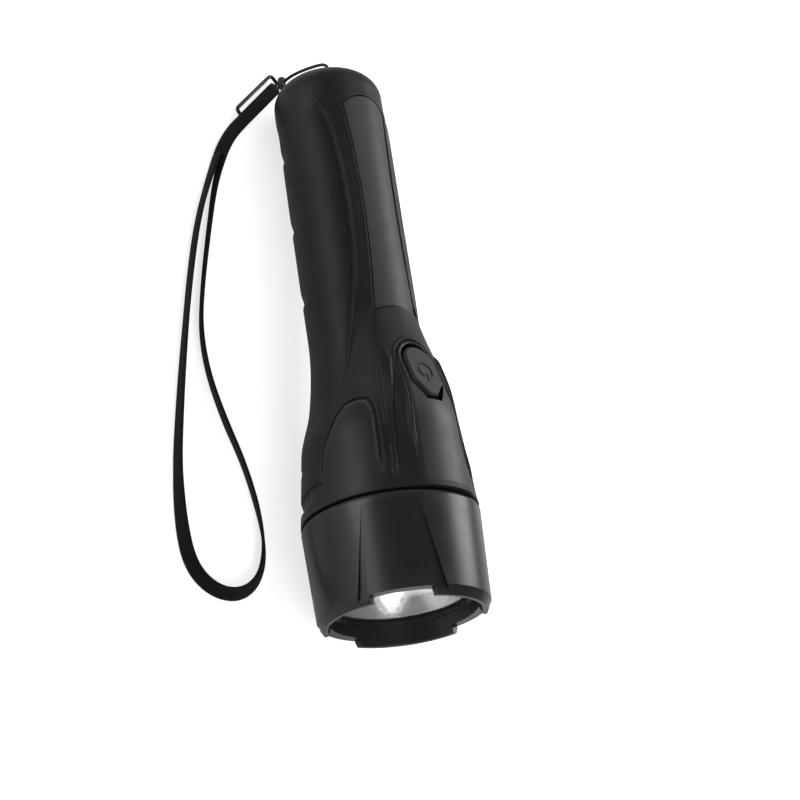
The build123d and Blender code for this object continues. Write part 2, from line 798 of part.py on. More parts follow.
with BuildPart() as board_screws:
    with BuildSketch(across(board_start - screw_head_height)):
        with PolarLocations(board_screw_radius, 2):
            Circle(screw_head_radius)
    extrude(amount=screw_head_height)
    with BuildSketch(across(board_start)):
        with PolarLocations(board_screw_radius, 2):
            Circle(screw_hole_radius)
    extrude(amount=board_thickness + carrier_floor - 0.4)

with BuildPart() as centre_contact:
    with BuildSketch(across(carrier_start)):
        Circle(rod_radius)
    extrude(amount=carrier_length)
    with BuildSketch(across(carrier_end)):
        Circle(contact_radius)
    extrude(amount=contact_height)

front_spring_start = carrier_end + contact_height
front_spring = coil(across(front_spring_start), front_spring_radius, front_spring_wire,
                    cells_start - front_spring_start, front_spring_turns)

# ---------------------------------------------------------------- resting place
keep(battery_tube.part, "battery_tube")
keep(rubber_grip.part, "rubber_grip")
keep(head_collar.part, "head_collar")
keep(label_inlay.part, "label_inlay")
keep(switch_surround.part, "switch_surround")
keep(button_cap.part, "button_cap")
keep(button_stem.part, "button_stem")
keep(switch_base.part, "switch_base")
keep(switch_contacts.part, "switch_contacts")
keep(return_spring, "return_spring")
keep(cell(cells_start), "cell_front")
keep(cell(cells_start + cell_pitch), "cell_rear")
keep(tail_spring, "tail_spring")
keep(tail_contact.part, "tail_contact")
keep(contact_strip.part, "contact_strip")
keep(head_seal.part, "head_seal")
keep(head_ring.part, "head_ring")
keep(lens.part, "lens")
keep(lens_seal.part, "lens_seal")
keep(reflector.part, "reflector")
keep(led_board.part, "led_board")
keep(led_chip.part, "led_chip")
keep(led_dome.part, "led_dome")
keep(board_screws.part, "board_screws")
keep(lamp_carrier.part, "lamp_carrier")
keep(centre_contact.part, "centre_contact")
keep(front_spring, "front_spring")

# head and handle both touch the surface: the head at its widest, the handle where its tail rounds off
rest_tilt = math.atan2(seam_radius - handle_radius, tail_cap_at - (seam_at - 2 * seam_edge))
tilt = Location((0, 0, 0), (-math.degrees(rest_tilt), 0, 0))
tilted = [piece.moved(tilt) for piece in rigid_pieces]
box = Compound(children=tilted).bounding_box()
rest_shift = Vector(0, -(box.min.Y + box.max.Y) / 2, -box.min.Z)
rest = Location(rest_shift) * tilt
print("tilt in degrees", round(math.degrees(rest_tilt), 4), "shift", rest_shift)
print("axis direction", Vector(0, math.cos(rest_tilt), -math.sin(rest_tilt)))

pieces = []
for piece in rigid_pieces:
    placed = piece.moved(rest)
    placed.label = piece.label
    pieces.append(placed)

# ---------------------------------------------------------------- strap, as it lies on the surface
def cord_path(points, name):
    """Straight runs joined by arcs as large as the runs allow; prints the radii and the length."""
    corners = [Vector(*point) for point in points]
    radii = []
    for before, corner, after in zip(corners, corners[1:], corners[2:]):
        run_in = corner - before
        run_out = after - corner
        half_turn = math.radians(run_in.get_angle(run_out) / 2)
        radii.append(0.45 * min(run_in.length, run_out.length) / math.tan(half_turn))
    path = FilletPolyline(*corners, radius=radii)
    print(name, "length", round(path.length, 2), "radii", [round(radius, 1) for radius in radii])
    return path


def hole_mouth(place, distance):
    """Point on the line of a cord hole, this far out of the tail end, at the resting place."""
    point = rest * Pos(place[0], torch_length + distance, place[1])
    return tuple(point.position)


cord_points = [
    hole_mouth(tail_hole_places[0], -tail_hole_inset),
    hole_mouth(tail_hole_places[0], 2.0),
    (-3.1, 110.9, 24.2),
    (-3.0, 112.4, 20.8),
    (-3.5, 113.3, 16.0),
    (-4.4, 113.7, 11.0),
    (-5.5, 113.4, 6.3),
    (-6.3, 112.0, 2.9),
    (-5.3, 109.8, 4.6),
    (-1.8, 110.4, 8.0),
    (2.1, 110.2, 10.9),
    hole_mouth(tail_hole_places[1], 2.2),
    hole_mouth(tail_hole_places[1], -tail_hole_inset),
]
with BuildPart() as tail_cord:
    with BuildLine() as tail_cord_line:
        tail_cord_path = cord_path(cord_points, "tail_cord")
        add(tail_cord_path)
    with BuildSketch(Plane(origin=tail_cord_path @ 0, z_dir=tail_cord_path % 0)):
        Circle(cord_radius)
    sweep()

slider_corners = [(-11.4, 114.2), (-29.6, 95.1), (-26.3, 91.9), (-8.1, 111.0)]
with BuildPart() as strap_slider:
    with BuildLine():
        slider_line = FilletPolyline(*[(x, y, strap_height) for x, y in slider_corners],
                                     radius=slider_corner_radius, close=True)
    with BuildSketch(Plane(origin=slider_line @ 0, z_dir=slider_line % 0)):
        Circle(slider_wire_radius)
    sweep()

strap_end_points = [(-10.0, 109.0), (-24.9, 93.3), (-35.6, 81.4), (-39.2, 73.15)]
with BuildPart() as strap_end:
    with BuildLine():
        strap_end_path = cord_path([(x, y, strap_height) for x, y in strap_end_points], "strap_end")
        add(strap_end_path)
    with BuildSketch(Plane(origin=strap_end_path @ 0, x_dir=(0, 0, 1), z_dir=strap_end_path % 0)):
        Rectangle(strap_end_thickness, strap_width)
    sweep()
    add(strap_slider.part, mode=Mode.SUBTRACT)

# the two legs of the loop leave the sewn end side by side
leg_way = strap_end_path % 1
leg_side = Vector(-leg_way.Y, leg_way.X, 0) * leg_spacing / 2
leg_root = strap_end_path @ 1
strap_points = [
    leg_root - leg_side,
    leg_root - leg_side + leg_way * leg_run,
    (-51.2, 46.0, strap_height),
    (-56.2, 25.0, strap_height),
    (-60.8, 0.0, strap_height),
    (-65.0, -26.5, strap_height),
    (-68.1, -50.5, strap_height),
    (-67.9, -71.5, strap_height),
    (-64.8, -84.5, strap_height),
    (-56.0, -91.4, strap_height),
    (-45.0, -91.8, strap_height),
    (-36.4, -85.5, strap_height),
    (-32.8, -74.5, strap_height),
    (-34.2, -61.0, strap_height),
    (-39.0, -44.5, strap_height),
    (-46.4, -29.0, strap_height),
    (-52.0, -13.0, strap_height),
    (-53.8, 3.0, strap_height),
    (-51.2, 21.0, strap_height),
    (-46.8, 42.0, strap_height),
    leg_root + leg_side + leg_way * (leg_run - 1),
    leg_root + leg_side,
]
with BuildPart() as wrist_strap:
    with BuildLine():
        strap_path = cord_path(strap_points, "wrist_strap")
        add(strap_path)
    with BuildSketch(Plane(origin=strap_path @ 0, x_dir=(0, 0, 1), z_dir=strap_path % 0)):
        Rectangle(strap_width, strap_thickness)
    sweep()

# bead that closes the cord's loop round the corner of the slider
knot_middle = Vector(-6.3, 112.2, strap_height)
knot_way = Vector(-0.17, -0.985, 0)
with BuildPart() as cord_knot:
    with BuildSketch(Plane(origin=knot_middle - knot_way * knot_length / 2, z_dir=knot_way)):
        Circle(knot_radius)
    extrude(amount=knot_length)
    fillet(cord_knot.edges(), knot_radius * 0.45)
    add(tail_cord.part, mode=Mode.SUBTRACT)
    add(strap_slider.part, mode=Mode.SUBTRACT)

tail_cord.part.label = "tail_cord"
strap_slider.part.label = "strap_slider"
strap_end.part.label = "strap_end"
wrist_strap.part.label = "wrist_strap"
cord_knot.part.label = "cord_knot"
pieces += [tail_cord.part, cord_knot.part, strap_slider.part, strap_end.part, wrist_strap.part]

for piece in pieces:
    export_step(piece, os.path.join(parts_folder, piece.label + ".step"))
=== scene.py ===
"""Looks of the rubber-covered battery torch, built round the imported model."""
import bpy
import math
import numpy as np
from mathutils import Matrix, Vector


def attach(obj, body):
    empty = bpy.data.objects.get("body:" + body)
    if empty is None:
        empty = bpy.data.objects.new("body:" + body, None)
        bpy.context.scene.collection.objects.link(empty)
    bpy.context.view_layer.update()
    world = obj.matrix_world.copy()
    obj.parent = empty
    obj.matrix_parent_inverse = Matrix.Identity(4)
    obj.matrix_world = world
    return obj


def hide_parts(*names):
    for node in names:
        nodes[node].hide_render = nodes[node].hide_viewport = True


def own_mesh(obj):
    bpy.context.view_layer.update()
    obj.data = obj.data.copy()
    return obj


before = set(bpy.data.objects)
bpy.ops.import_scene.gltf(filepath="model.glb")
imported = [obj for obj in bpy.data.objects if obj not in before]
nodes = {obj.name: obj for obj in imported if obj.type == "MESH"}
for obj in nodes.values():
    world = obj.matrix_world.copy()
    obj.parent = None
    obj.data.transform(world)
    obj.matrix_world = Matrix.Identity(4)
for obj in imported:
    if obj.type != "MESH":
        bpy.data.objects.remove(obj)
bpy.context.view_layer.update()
scene = bpy.context.scene
MM = 0.001

# ---------------------------------------------------------------- camera
cam_place = Vector((-0.49684, -0.28454, 0.55681))
cam_look = Vector((0.65347, 0.33798, -0.67730)).normalized()
cam_up = Vector((-0.15757, 0.93592, 0.31500)).normalized()
cam_right = cam_look.cross(cam_up).normalized()
cam_up = cam_right.cross(cam_look).normalized()
SENSOR_WIDTH, FOCAL_PIXELS, FRAME_PIXELS = 36, 2200, 800
cam_data = bpy.data.cameras.new("camera")
cam_data.sensor_width = SENSOR_WIDTH
cam_data.lens = FOCAL_PIXELS / FRAME_PIXELS * SENSOR_WIDTH
cam_data.clip_start = 0.02
camera = bpy.data.objects.new("camera", cam_data)
cam_turn = Matrix((cam_right, cam_up, -cam_look)).transposed()
camera.matrix_world = Matrix.Translation(cam_place) @ cam_turn.to_4x4()
scene.collection.objects.link(camera)
scene.camera = camera


# ---------------------------------------------------------------- helpers
def link(obj):
    scene.collection.objects.link(obj)
    return obj


def mesh_object(name, verts, faces, uvs=None):
    """Smooth mesh object from vertices in metres; uvs, if given, has one pair for each vertex."""
    mesh = bpy.data.meshes.new(name)
    mesh.from_pydata([tuple(v) for v in verts], [], [tuple(f) for f in faces])
    mesh.validate()
    if uvs is not None:
        layer = mesh.uv_layers.new(name="UVMap")
        for loop in mesh.loops:
            layer.data[loop.index].uv = uvs[loop.vertex_index]
    for polygon in mesh.polygons:
        polygon.use_smooth = True
    mesh.update()
    return link(bpy.data.objects.new(name, mesh))


def route_curve(name, points):
    """Smooth NURBS line in metres, drawn by control points in millimetres."""
    data = bpy.data.curves.new(name, "CURVE")
    data.dimensions = "3D"
    data.resolution_u = 16
    spline = data.splines.new("NURBS")
    spline.points.add(len(points) - 1)
    for control, point in zip(spline.points, points):
        control.co = (point[0] * MM, point[1] * MM, point[2] * MM, 1)
    spline.order_u = 3
    spline.use_endpoint_u = True
    return link(bpy.data.objects.new(name, data))


def route_samples(name, points):
    """Points that the route's NURBS line passes, in metres, read from the curve itself."""
    line = route_curve(name, points)
    mesh = bpy.data.meshes.new_from_object(line)
    samples = np.array([v.co[:] for v in mesh.vertices])
    bpy.data.meshes.remove(mesh)
    bpy.data.objects.remove(line)
    return samples


# ---------------------------------------------------------------- materials
class Shader:
    """Small helper that builds a node material round one Principled shader."""

    def __init__(self, name, colour, roughness, metallic=0.0, specular=0.5):
        self.material = bpy.data.materials.new(name)
        self.material.use_nodes = True
        self.tree = self.material.node_tree
        self.principled = self.tree.nodes["Principled BSDF"]
        self.set("Base Color", (*colour, 1))
        self.set("Roughness", roughness)
        self.set("Metallic", metallic)
        self.set("Specular IOR Level", specular)
        self.coords = self.node("ShaderNodeTexCoord")

    def node(self, kind, **values):
        made = self.tree.nodes.new(kind)
        for key, value in values.items():
            if hasattr(made, key):
                setattr(made, key, value)
        return made

    def set(self, socket, value):
        self.principled.inputs[socket].default_value = value

    def join(self, source, target):
        self.tree.links.new(source, target)

    def maths(self, operation, first, second):
        """Math node between two sockets, or a socket and a number."""
        made = self.node("ShaderNodeMath", operation=operation)
        for value, socket in zip((first, second), made.inputs):
            if isinstance(value, float):
                socket.default_value = value
            else:
                self.join(value, socket)
        return made.outputs["Value"]

    def noise(self, scale, detail):
        made = self.node("ShaderNodeTexNoise")
        made.inputs["Scale"].default_value = scale
        made.inputs["Detail"].default_value = detail
        made.inputs["Roughness"].default_value = 0.5
        self.join(self.coords.outputs["Object"], made.inputs["Vector"])
        return made.outputs["Fac"]

    def ramp(self, source, stops):
        made = self.node("ShaderNodeValToRGB")
        elements = made.color_ramp.elements
        while len(elements) < len(stops):
            elements.new(0.5)
        for element, (place, value) in zip(elements, stops):
            element.position = place
            colour = value if hasattr(value, "__len__") else (value, value, value)
            element.color = (*colour, 1)
        self.join(source, made.inputs["Fac"])
        return made.outputs["Color"]

    def bump(self, heights, distance, strength, chain=None):
        made = self.node("ShaderNodeBump")
        made.inputs["Distance"].default_value = distance
        made.inputs["Strength"].default_value = strength
        self.join(heights, made.inputs["Height"])
        if chain is not None:
            self.join(chain, made.inputs["Normal"])
        self.join(made.outputs["Normal"], self.principled.inputs["Normal"])
        return made.outputs["Normal"]


def moulded(name, colour, roughness, grain=900.0, depth=0.00002, mottle=0.12, wear=0.0, specular=0.5):
    """Moulded rubber or plastic: fine grain, slight mottle in colour and gloss, paler worn edges."""
    shader = Shader(name, colour, roughness, specular=specular)
    darker = tuple(c * (1 - mottle) for c in colour)
    paler = tuple(min(1, c * (1 + mottle)) for c in colour)
    tint = shader.ramp(shader.noise(55, 4), [(0.3, darker), (0.7, paler)])
    if wear > 0:
        geometry = shader.node("ShaderNodeNewGeometry")
        edge = shader.ramp(geometry.outputs["Pointiness"], [(0.52, 0.0), (0.58, 1.0)])
        mix = shader.node("ShaderNodeMix", data_type="RGBA")
        shader.join(edge, mix.inputs["Factor"])
        shader.join(tint, mix.inputs["A"])
        mix.inputs["B"].default_value = (*[min(1, c * (1 + wear)) for c in colour], 1)
        tint = mix.outputs["Result"]
    shader.join(tint, shader.principled.inputs["Base Color"])
    gloss = shader.ramp(shader.noise(120, 3), [(0.25, roughness * 0.9), (0.75, min(1, roughness * 1.1))])
    shader.join(gloss, shader.principled.inputs["Roughness"])
    first = shader.bump(shader.noise(grain, 2), depth, 0.7)
    shader.bump(shader.noise(grain * 0.22, 3), depth * 1.5, 0.35, chain=first)
    return shader.material


def metal(name, colour, roughness):
    shader = Shader(name, colour, roughness, metallic=1.0)
    streaks = shader.ramp(shader.noise(260, 5), [(0.3, roughness * 0.7), (0.7, min(1, roughness * 1.3))])
    shader.join(streaks, shader.principled.inputs["Roughness"])
    shader.bump(shader.noise(700, 2), 0.000005, 0.3)
    return shader.material


def woven(name, colour, threads):
    """Narrow tape: over-and-under bump in the piece's own UVs in millimetres, with threads to the millimetre."""
    shader = Shader(name, colour, 0.85, specular=0.12)
    shader.set("Sheen Weight", 0.08)
    shader.set("Sheen Roughness", 0.5)
    mapping = shader.node("ShaderNodeMapping")
    mapping.inputs["Scale"].default_value = (threads, threads, 1)
    shader.join(shader.coords.outputs["UV"], mapping.inputs["Vector"])
    warp = shader.node("ShaderNodeTexWave", wave_type="BANDS", bands_direction="DIAGONAL")
    warp.inputs["Scale"].default_value = 1.0
    warp.inputs["Distortion"].default_value = 0.4
    shader.join(mapping.outputs["Vector"], warp.inputs["Vector"])
    weft = shader.node("ShaderNodeTexWave", wave_type="BANDS", bands_direction="Y")
    weft.inputs["Scale"].default_value = 1.0
    weft.inputs["Distortion"].default_value = 0.3
    shader.join(mapping.outputs["Vector"], weft.inputs["Vector"])
    weave = shader.maths("MULTIPLY", warp.outputs["Fac"], weft.outputs["Fac"])
    tint = shader.ramp(weave, [(0.0, tuple(c * 0.6 for c in colour)), (0.8, tuple(c * 1.5 for c in colour))])
    shader.join(tint, shader.principled.inputs["Base Color"])
    shader.bump(weave, 0.00012, 0.8)
    return shader.material


rubber = moulded("rubber", (0.0125, 0.0128, 0.0132), 0.50, grain=2400, depth=0.00001, wear=0.6, specular=0.20)
hard_black = moulded("hard_black", (0.0135, 0.0138, 0.0145), 0.42, grain=1800, depth=0.000008, wear=0.8,
                     specular=0.26)
nose_plastic = moulded("nose_plastic", (0.0155, 0.0158, 0.0165), 0.42, grain=3000, depth=0.000006, wear=0.5,
                       specular=0.26)
inlay_plastic = moulded("inlay_plastic", (0.024, 0.0242, 0.025), 0.45, grain=3000, depth=0.000006, wear=0.5,
                        specular=0.24)
gloss_black = moulded("gloss_black", (0.0115, 0.0118, 0.0124), 0.33, grain=900, depth=0.000004, wear=0.8,
                      specular=0.4)
button_rubber = moulded("button_rubber", (0.016, 0.0163, 0.017), 0.45, grain=2600, depth=0.000006, wear=0.8,
                        specular=0.35)
inner_plastic = moulded("inner_plastic", (0.012, 0.012, 0.013), 0.5, specular=0.2)
seal_rubber = moulded("seal_rubber", (0.012, 0.012, 0.012), 0.6, specular=0.2)
crimp = moulded("crimp", (0.03, 0.03, 0.032), 0.45)
wire_black = moulded("wire_black", (0.008, 0.008, 0.009), 0.35, specular=0.3)
steel = metal("steel", (0.62, 0.61, 0.58), 0.28)
board = moulded("board", (0.72, 0.74, 0.72), 0.35)
emitter = moulded("emitter", (0.85, 0.62, 0.12), 0.5)
cell_jacket = moulded("cell_jacket", (0.09, 0.10, 0.12), 0.35)
webbing = woven("webbing", (0.0075, 0.0076, 0.0082), 2.2)


def clear_plastic(name):
    shader = Shader(name, (0.97, 0.98, 0.985), 0.03, specular=0.5)
    shader.set("Transmission Weight", 1.0)
    shader.set("IOR", 1.49)
    haze = shader.ramp(shader.noise(90, 3), [(0.35, 0.02), (0.8, 0.07)])
    shader.join(haze, shader.principled.inputs["Roughness"])
    return shader.material


def mirror_bowl(name):
    """Vacuum-metallised bowl with a fine orange-peel that spreads the beam."""
    shader = Shader(name, (0.95, 0.95, 0.94), 0.3, metallic=0.7)
    peel = shader.node("ShaderNodeTexVoronoi")
    peel.inputs["Scale"].default_value = 620
    shader.join(shader.coords.outputs["Object"], peel.inputs["Vector"])
    shader.bump(peel.outputs["Distance"], 0.0002, 0.3)
    return shader.material


clear = clear_plastic("clear")
bowl = mirror_bowl("mirror_bowl")

finishes = {
    "battery_tube": hard_black, "rubber_grip": rubber, "head_collar": hard_black,
    "label_inlay": inlay_plastic, "switch_surround": nose_plastic, "button_cap": button_rubber,
    "button_stem": inner_plastic, "switch_base": inner_plastic, "switch_contacts": steel,
    "return_spring": steel, "cell_front": cell_jacket, "cell_rear": cell_jacket,
    "tail_spring": steel, "tail_contact": steel, "contact_strip": steel,
    "head_seal": seal_rubber, "head_ring": gloss_black, "lens": clear, "lens_seal": seal_rubber,
    "reflector": bowl, "led_board": board, "led_chip": emitter, "led_dome": clear,
    "board_screws": steel, "lamp_carrier": inner_plastic, "centre_contact": steel,
    "front_spring": steel, "cord_knot": crimp, "strap_slider": wire_black,
}
for name, material in finishes.items():
    slots = nodes[name].data.materials
    slots.clear()
    slots.append(material)

# ---------------------------------------------------------------- moulded outside of the torch
# worked out in the torch's own frame: millimetres from the rim, degrees from the button
TILT_COS, TILT_SIN = 0.997812, 0.06612
REST_Y, REST_Z = -104.611, 33.3455
SEAM_AT, SEAM_RADIUS = 37.0, 31.0
FLARE_AT = 36.5
NECK_AT, NECK_RADIUS, NECK_SLOPE, NECK_DROP = 62, 27.6, -0.1333, 3.4
STEEP_AT, STEEP_RADIUS, STEEP_SLOPE = 80, 22.9, -0.20
HANDLE_AT, HANDLE_RADIUS, HANDLE_CROWN = 106.0, 20.0, 0.15
TAIL_AT, TORCH_LENGTH, TAIL_FACE_RADIUS = 201.0, 211.0, 8
TAIL_SHOULDER_RADII = (HANDLE_RADIUS, HANDLE_RADIUS, 14.5, TAIL_FACE_RADIUS)
TAIL_SHOULDER_PLACES = (TAIL_AT, 206.5, 210.8, TORCH_LENGTH)
SWITCH_AT, SWITCH_HEIGHT, SWITCH_SLOPE = 81.5, 27.085, math.radians(16.17)
SLOPE_COS, SLOPE_SIN = math.cos(SWITCH_SLOPE), math.sin(SWITCH_SLOPE)

# ridge that carries the switch: where its top starts to drop and how fast, and the lean of its flanks
RIDGE_DROPS_AT, RIDGE_DROP, RIDGE_ENDS_AT = 68, 0.29, 112
FLANK_REACH, FLANK_LEAN = 25.588, 0.4706
RIDGE_SIDE_AT, RIDGE_SIDE = [STEEP_AT, HANDLE_AT], [19, 11]

# switch surround, button pocket and inlay, in millimetres
PLATE_START, PLATE_ROUND_AT, PLATE_END_RADIUS = 39.5, 85.9, 8.7
PLATE_SIDE_AT, PLATE_SIDE = [60, SWITCH_AT], [10.6, PLATE_END_RADIUS]
POCKET_HALF, POCKET_STRAIGHT, POCKET_DEPTH = 7.4, 4.9, 4.3
POCKET_TIP_HALF, POCKET_TIP_AT = 3.33, -12.3
INLAY_START, INLAY_MIDDLE, INLAY_END, INLAY_HALF_LENGTH = 107.5, 149, 190.5, 41.5
INLAY_HALF, INLAY_FLARE, INLAY_CORNER, INLAY_GAP = 7.4, 2.0, 9.4, 0.55
INLAY_START_BOW, INLAY_END_BOW, INLAY_BED_DEPTH = 2, 4, 1.3
ELSEWHERE = -9.0            # distance given to places that an outline doesn't reach

# cord holes through the tail: distance from the axis, degrees from the button, radius and depth shown
HOLE_REACH, HOLE_DEGREES, HOLE_RADIUS, HOLE_DEPTH = 7.3, -26, 0.95, 4.0
FINGER_GROOVES = (120, 149, 178)

# heights and depths of the moulded forms
CREASE_STEP, CREASE_SET_BACK, CREASE_LIP, CREASE_FADE = 0.70, 0.45, 0.32, 3.4
SHIELD_LINE, SHIELD_LIP = 0.7, 0.18
PLATE_LINE, PLATE_LIP = 0.65, 0.30
LINE_WIDTH, LIP_WIDTH = 0.42, 0.45
BACK_RECESS, BACK_LINE, FINGER_GROOVE = 1.1, 0.7, 0.9
BLADE_HEIGHT, POCKET_LIP, INLAY_LIP, HOLE_LIP = 1.1, 0.45, 0.15, 0.12


def to_shared(across, along, height):
    """Torch frame in millimetres to the shared frame in metres."""
    return np.stack([across, TILT_COS * along + TILT_SIN * height + REST_Y,
                     -TILT_SIN * along + TILT_COS * height + REST_Z], axis=-1) * MM


def places(*spans):
    """Grid places from spans of start, end and step."""
    return np.concatenate([np.linspace(a, b, round((b - a) / step), endpoint=False) for a, b, step in spans]
                          + [[spans[-1][1]]])


def soft_min(a, b, width):
    """Lesser of two values, rounded where they lie within the width of each other."""
    blend = np.clip(width - np.abs(a - b), 0, None) / width
    return np.minimum(a, b) - blend * blend * width / 4


def soft_max(a, b, width):
    return -soft_min(-a, -b, width)


def rise(value, low, high):
    """Smooth step from 0 at low to 1 at high."""
    t = np.clip((value - low) / (high - low), 0, 1)
    return t * t * (3 - 2 * t)


def ridge_line(distance, width):
    """Rounded ridge of height 1 along a line."""
    return np.exp(-(distance / width) ** 2)


def hermite(t, a, b, slope_a, slope_b, span):
    """Curve from a to b over the span, with a slope at each end."""
    return ((2 * t**3 - 3 * t**2 + 1) * a + (t**3 - 2 * t**2 + t) * span * slope_a
            + (-2 * t**3 + 3 * t**2) * b + (t**3 - t**2) * span * slope_b)


def bezier(t, a, b, c, d):
    return (1 - t) ** 3 * a + 3 * (1 - t) ** 2 * t * b + 3 * (1 - t) * t * t * c + t ** 3 * d


def turned_radius(along):
    """Radius of the plain turned shape: flare, neck and lightly crowned handle."""
    upper_run, lower_run = STEEP_AT - NECK_AT, HANDLE_AT - STEEP_AT
    flare = SEAM_RADIUS - (along - FLARE_AT) * (NECK_DROP / (NECK_AT - FLARE_AT))
    upper = hermite((along - NECK_AT) / upper_run, NECK_RADIUS, STEEP_RADIUS, NECK_SLOPE, STEEP_SLOPE, upper_run)
    lower = hermite((along - STEEP_AT) / lower_run, STEEP_RADIUS, HANDLE_RADIUS, STEEP_SLOPE, 0, lower_run)
    share = np.clip((along - HANDLE_AT) / (TAIL_AT - HANDLE_AT), 0, 1)
    handle = HANDLE_RADIUS + HANDLE_CROWN * np.sin(np.pi * share)
    return np.select([along < NECK_AT, along < STEEP_AT, along < HANDLE_AT], [flare, upper, lower], handle)


def outline_distance(across, along, corners):
    """Signed distance to a closed outline, positive inside."""
    inside = np.zeros(across.shape, bool)
    nearest = np.full(across.shape, 1e9)
    for (x1, y1), (x2, y2) in zip(corners, corners[1:] + corners[:1]):
        share = np.clip(((across - x1) * (x2 - x1) + (along - y1) * (y2 - y1))
                        / ((x2 - x1) ** 2 + (y2 - y1) ** 2), 0, 1)
        nearest = np.minimum(nearest, np.hypot(across - x1 - share * (x2 - x1),
                                               along - y1 - share * (y2 - y1)))
        if y1 != y2:
            crossing = ((along < y1) != (along < y2)) & (
                across < (x2 - x1) * (along - y1) / (y2 - y1) + x1)
            inside ^= crossing
    return np.where(inside, nearest, -nearest)


# outline of the side shields and of the band behind them: degrees from the button, millimetres
SHIELD = [(44.5, 30), (43.6, 51), (43.5, 65), (44.6, 69.6), (47.6, 72.4), (54, 73.1), (61, 73), (67.5, 72),
          (74.7, 68.1), (83.7, 60.6), (87.3, 56.8), (88.8, 51), (89.0, 46.1), (200, 46.1), (200, 30)]
# crease along each side of the grip: distance from the rim, degrees from the button
CREASE = np.array([(60, 93), (68.2, 86.2), (72.7, 81.2), (79.1, 72.7), (86.2, 65.0), (95.6, 58.6), (106.5, 52.2),
                   (119.8, 44.5), (134, 40.6), (149.8, 39.6), (165.5, 41.2), (178.7, 44.6), (188, 50),
                   (193.8, 57.8), (198, 66)])
# blade on each side of the nose plate: distance from the rim, degrees from the button; and its half width
BLADE = np.array([(38, 37.0), (57.8, 35.2), (75, 32.6), (90.9, 30.0)])
BLADE_WIDTH = np.array([(38, 0.5), (60, 1.3), (86, 2.4), (92, 0.5)])

half_turns = places((0, 32, 0.4), (32, 95, 0.7), (95, 180, 1.5))
turns = np.radians(np.concatenate([-half_turns[-2:0:-1], half_turns]))
side_rows = places((37.3, 47, 0.3), (47, 66, 0.45), (66, 96, 0.22), (96, 200.6, 0.5))
shoulder = np.linspace(0, 1, 30)
tail_rows = np.array([(bezier(t, *TAIL_SHOULDER_RADII), bezier(t, *TAIL_SHOULDER_PLACES)) for t in shoulder]
                     + [(radius, TORCH_LENGTH) for radius in np.linspace(TAIL_FACE_RADIUS - 0.3, 0.1, 26)])
row_radius = np.concatenate([turned_radius(side_rows), tail_rows[:, 0]])
row_along = np.concatenate([side_rows, tail_rows[:, 1]])
on_side = (row_along < TAIL_AT - 0.2)[:, None]
turn_grid, radius_grid = np.meshgrid(turns, row_radius)
along_grid = np.meshgrid(turns, row_along)[1]
SHIELD_ARC = 0.48           # millimetres to the degree at the shields


def signed_distances(turn, along, radius):
    """Distances to the outlines of the inset pieces, positive inside each of them."""
    degrees = np.abs(np.degrees(turn))
    across = radius * np.sin(turn)
    height = radius * np.cos(turn)
    on_top = height > 0
    collar = outline_distance(degrees * SHIELD_ARC, along, [(d * SHIELD_ARC, s) for d, s in SHIELD])

    past_round = along > PLATE_ROUND_AT
    half = np.interp(along, PLATE_SIDE_AT, PLATE_SIDE)
    from_round = np.hypot(across, np.where(past_round, along - PLATE_ROUND_AT, 0))
    plate = np.where(past_round, PLATE_END_RADIUS - from_round,
                     np.minimum(half - np.abs(across), along - PLATE_START))

    on_face = (along - SWITCH_AT) * SLOPE_COS - (height - SWITCH_HEIGHT) * SLOPE_SIN
    corners = [(-POCKET_TIP_HALF, POCKET_TIP_AT), (POCKET_TIP_HALF, POCKET_TIP_AT), (POCKET_HALF, -POCKET_STRAIGHT)]
    corners += [(POCKET_HALF * math.cos(a), POCKET_STRAIGHT + POCKET_HALF * math.sin(a))
                for a in np.linspace(0, math.pi, 25)]
    corners.append((-POCKET_HALF, -POCKET_STRAIGHT))
    pocket = outline_distance(across, on_face, corners)

    bow = 1 - (across / INLAY_CORNER) ** 2
    inlay_side = INLAY_HALF + INLAY_FLARE * ((along - INLAY_MIDDLE) / INLAY_HALF_LENGTH) ** 2
    inlay = np.minimum(inlay_side - np.abs(across),
                       np.minimum(along - INLAY_START - INLAY_START_BOW * bow,
                                  INLAY_END + INLAY_END_BOW * bow - along)) + INLAY_GAP
    return (collar, *(np.where(on_top, distance, ELSEWHERE) for distance in (plate, pocket, inlay)))


def crowned_radius(turn, along, radius):
    """Turned shape joined with the switch's ridge."""
    sine = np.abs(np.sin(turn))
    cosine = np.cos(turn)
    crown = soft_min(np.full(along.shape, SEAM_RADIUS), SEAM_RADIUS - (along - RIDGE_DROPS_AT) * RIDGE_DROP, 1.6)
    flank = FLANK_REACH / np.maximum(sine + FLANK_LEAN * np.maximum(cosine, 0), 0.2)
    plan = np.interp(along, RIDGE_SIDE_AT, RIDGE_SIDE) / np.maximum(sine, 0.05)
    ridge = soft_min(soft_min(crown, flank, 4), plan, 4)
    ridge = np.where((cosine > 0.1) & (along < RIDGE_ENDS_AT), ridge, 0)
    return soft_max(radius, ridge, 3.5)


skin_radius = np.where(on_side, crowned_radius(turn_grid, along_grid, radius_grid), radius_grid)
